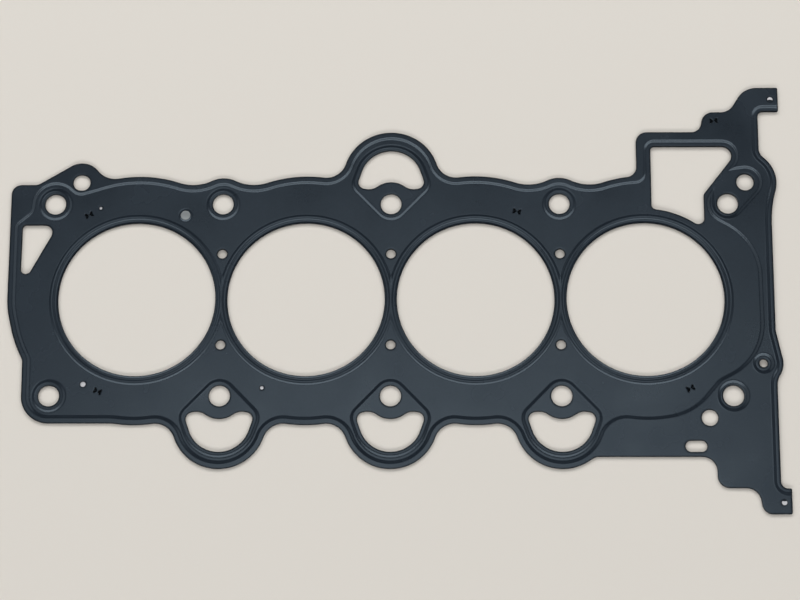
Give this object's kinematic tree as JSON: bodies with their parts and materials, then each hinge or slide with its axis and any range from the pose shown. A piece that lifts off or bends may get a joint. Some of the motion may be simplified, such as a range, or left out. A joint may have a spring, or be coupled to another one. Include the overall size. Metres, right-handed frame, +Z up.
{
  "type": "cylinder head gasket",
  "caption": "Layered steel gasket that seals the joint between an inline engine's cylinder block and its head, with raised beads round the combustion openings.",
  "frame": {"origin": "centre of the head bolt pattern, on the plane of the lower sealing face", "axes": "+X along the row of cylinders towards the timing end, +Y across the row to the side of the dowel and the upper tab, +Z up to the cylinder head"},
  "size_m": [0.3851, 0.2172, 0.0015],
  "materials": {
    "coated_sheet": "satin rubber coating on spring steel",
    "bare_steel": "bare rolled stainless steel",
    "rivet_steel": "dull turned steel"
  },
  "bodies": {
    "root": {"upper_layer": "coated_sheet", "carrier_layer": "bare_steel", "lower_layer": "coated_sheet", "rivet": "rivet_steel"}
  },
  "joints": []
}
